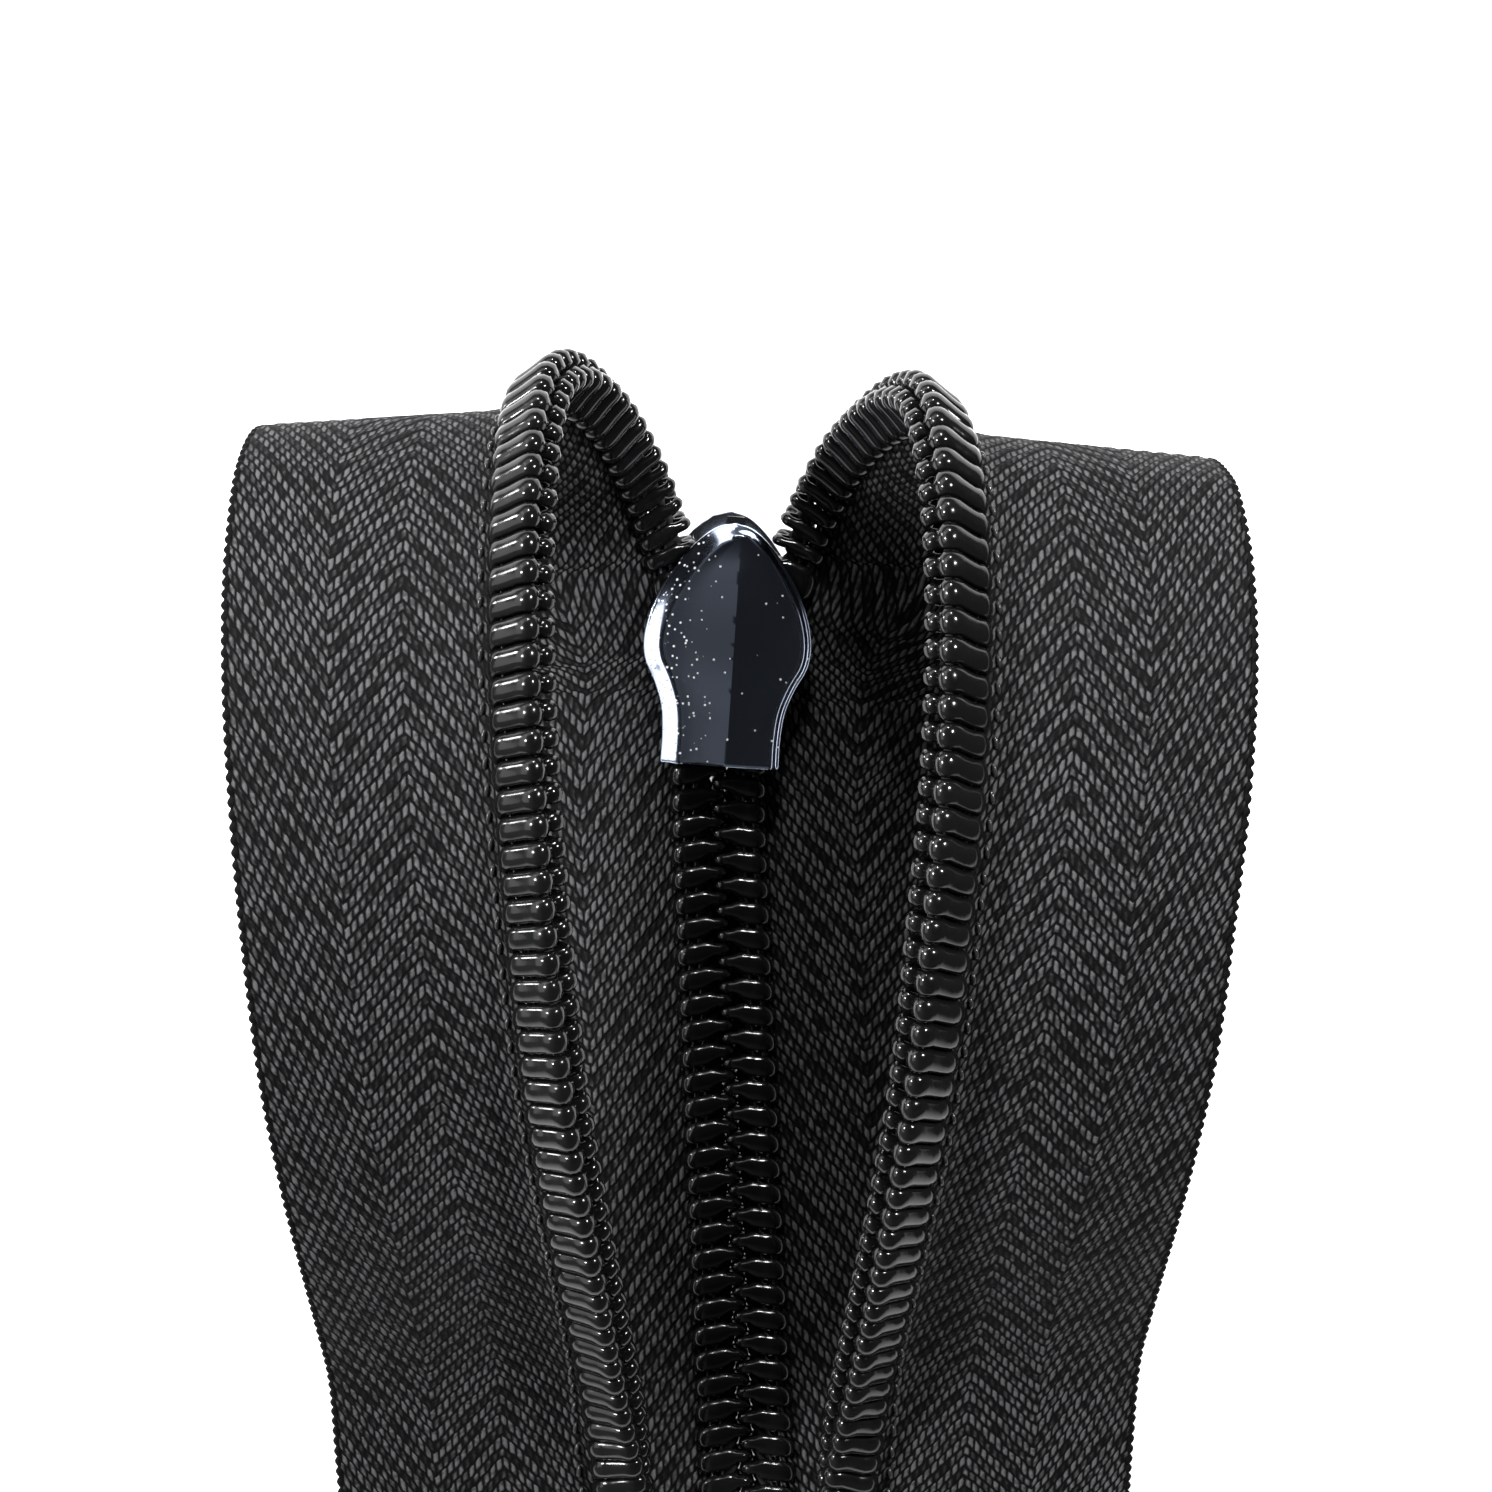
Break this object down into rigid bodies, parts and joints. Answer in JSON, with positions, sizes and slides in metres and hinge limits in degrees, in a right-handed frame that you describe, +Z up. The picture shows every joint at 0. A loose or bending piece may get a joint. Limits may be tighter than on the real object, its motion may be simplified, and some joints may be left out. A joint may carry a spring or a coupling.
{
  "type": "coil zipper",
  "caption": "Black nylon coil zipper on herringbone tapes, partly open, both stringers looped over above a polished slider.",
  "frame": {"origin": "under the middle of the zipper's box, on the surface it lies on", "axes": "+Y along the closed chain towards the slider's mouth, +X to the right seen from the coil side, +Z up out of the coil side"},
  "size_m": [0.0572, 0.09, 0.0345],
  "materials": {
    "tape": "herringbone woven polyester",
    "coil": "glossy nylon monofilament",
    "cord": "twisted spun yarn",
    "thread": "filament sewing thread",
    "stop_metal": "dark nickel plate",
    "slider_metal": "polished dark nickel plate",
    "spring_steel": "plain spring steel"
  },
  "bodies": {
    "chain_end": {"bottom_stop": "stop_metal"},
    "left_stringer": {"left_tape": "tape", "left_coil": "coil", "left_core_cord": "cord", "left_needle_thread_a": "thread", "left_needle_thread_b": "thread", "left_looper_thread": "thread", "left_top_stop": "stop_metal"},
    "right_stringer": {"right_tape": "tape", "right_coil": "coil", "right_core_cord": "cord", "right_needle_thread_a": "thread", "right_needle_thread_b": "thread", "right_looper_thread": "thread", "right_top_stop": "stop_metal"},
    "slider": {"slider_body": "slider_metal", "slider_cap": "slider_metal"},
    "lock": {"lock_spring": "spring_steel"},
    "pull": {"pull_tab": "slider_metal"}
  },
  "joints": [
    {"name": "slider_slide", "type": "slide", "parent": "chain_end", "child": "slider", "axis": [0, 0.9987, 0.0519], "range_m": [-0.042, 0], "deforming": ["left_coil", "left_core_cord", "left_needle_thread_a", "left_needle_thread_b", "left_looper_thread", "right_coil", "right_core_cord", "right_needle_thread_a", "right_needle_thread_b", "right_looper_thread"]},
    {"name": "left_opening", "type": "hinge", "parent": "chain_end", "child": "left_stringer", "pos_m": [-0.00176, -0.03983, 0.00169], "axis": [0, -0.0519, 0.9987], "range_deg": [0, 3.5]},
    {"name": "right_opening", "type": "hinge", "parent": "chain_end", "child": "right_stringer", "pos_m": [-0.00176, -0.03983, 0.00169], "axis": [0, -0.0519, 0.9987], "range_deg": [-3.5, 0]},
    {"name": "pull_hinge", "type": "hinge", "parent": "slider", "child": "pull", "pos_m": [-0.00096, 0.02658, 0.00139], "axis": [0.9939, -0.1103, 0], "range_deg": [0, 170]},
    {"name": "lock_lift", "type": "hinge", "parent": "slider", "child": "lock", "pos_m": [-0.00129, 0.02356, 0.00211], "axis": [-0.9939, 0.1103, 0], "range_deg": [0, 3.5]}
  ],
  "couplings": [
    {"joint": "left_opening", "follows": "slider_slide", "rad_per_m": -1.41},
    {"joint": "right_opening", "follows": "slider_slide", "rad_per_m": 1.41},
    {"joint": "lock_lift", "follows": "pull_hinge", "ratio": 0.0176}
  ]
}
